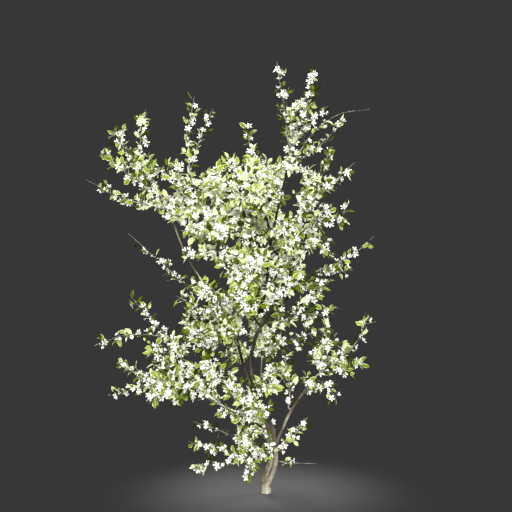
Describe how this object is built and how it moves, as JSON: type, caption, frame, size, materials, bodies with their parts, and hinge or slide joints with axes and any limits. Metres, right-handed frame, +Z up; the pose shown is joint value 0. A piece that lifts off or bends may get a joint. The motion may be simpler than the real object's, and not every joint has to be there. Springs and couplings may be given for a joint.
{
  "type": "cherry blossom tree",
  "caption": "Young multi-stemmed cherry tree in white blossom with fresh leaves: a flared foot, winding stems, open boughs and separate masses of flowering twigs.",
  "frame": {"origin": "middle of the flat cut under the foot, at ground level", "axes": "+Z up; +X to the right and +Y away from the side that the tree is seen from"},
  "size_m": [1.4262, 1.28, 2.1587],
  "materials": {
    "bark": "matt, finely cracked grey-brown bark",
    "foliage": "twigs with leaves and blossom, seen together",
    "twig": "matt young shoots",
    "leaf": "fresh yellow-green, satin",
    "blossom": "white petals, matt"
  },
  "bodies": {
    "root": {"arm_top_right": "foliage", "band_upper": "foliage", "bough_back_high": "bark", "bough_back_low": "bark", "bough_back_mid": "bark", "bough_front_high": "bark", "bough_front_mid": "bark", "bough_long": "bark", "bough_low_left": "bark", "bough_mid_left": "bark", "bough_right": "bark", "bough_upper_left": "bark", "bough_upper_right": "bark", "crest": "foliage", "crown_back": "foliage", "crown_back_left": "foliage", "crown_back_right": "foliage", "crown_front": "foliage", "crown_front_left": "foliage", "crown_front_right": "foliage", "far_left": "foliage", "far_left_high": "foliage", "foot_back": "foliage", "foot_left": "foliage", "foot_right": "foliage", "foot_right_bare": "foliage", "heart_high": "foliage", "heart_left": "foliage", "leader": "bark", "left_centre": "foliage", "left_low": "foliage", "left_low_back": "foliage", "left_low_front": "foliage", "left_mid": "foliage", "left_mid_back": "foliage", "left_thin": "foliage", "low_back": "foliage", "low_back_right": "foliage", "mid_back": "foliage", "mid_back_left": "foliage", "mid_back_right": "foliage", "mid_front": "foliage", "mid_front_right": "foliage", "right_arc": "foliage", "right_high": "foliage", "right_inner": "foliage", "right_low": "foliage", "right_low_hang": "foliage", "right_low_inner": "foliage", "right_reach": "foliage", "right_rear": "foliage", "right_shoulder": "foliage", "spire": "foliage", "stem_left": "bark", "stem_right": "bark", "trunk": "bark", "trunk_front_left": "foliage", "trunk_front_right": "foliage", "twins": "foliage"}
  },
  "joints": []
}
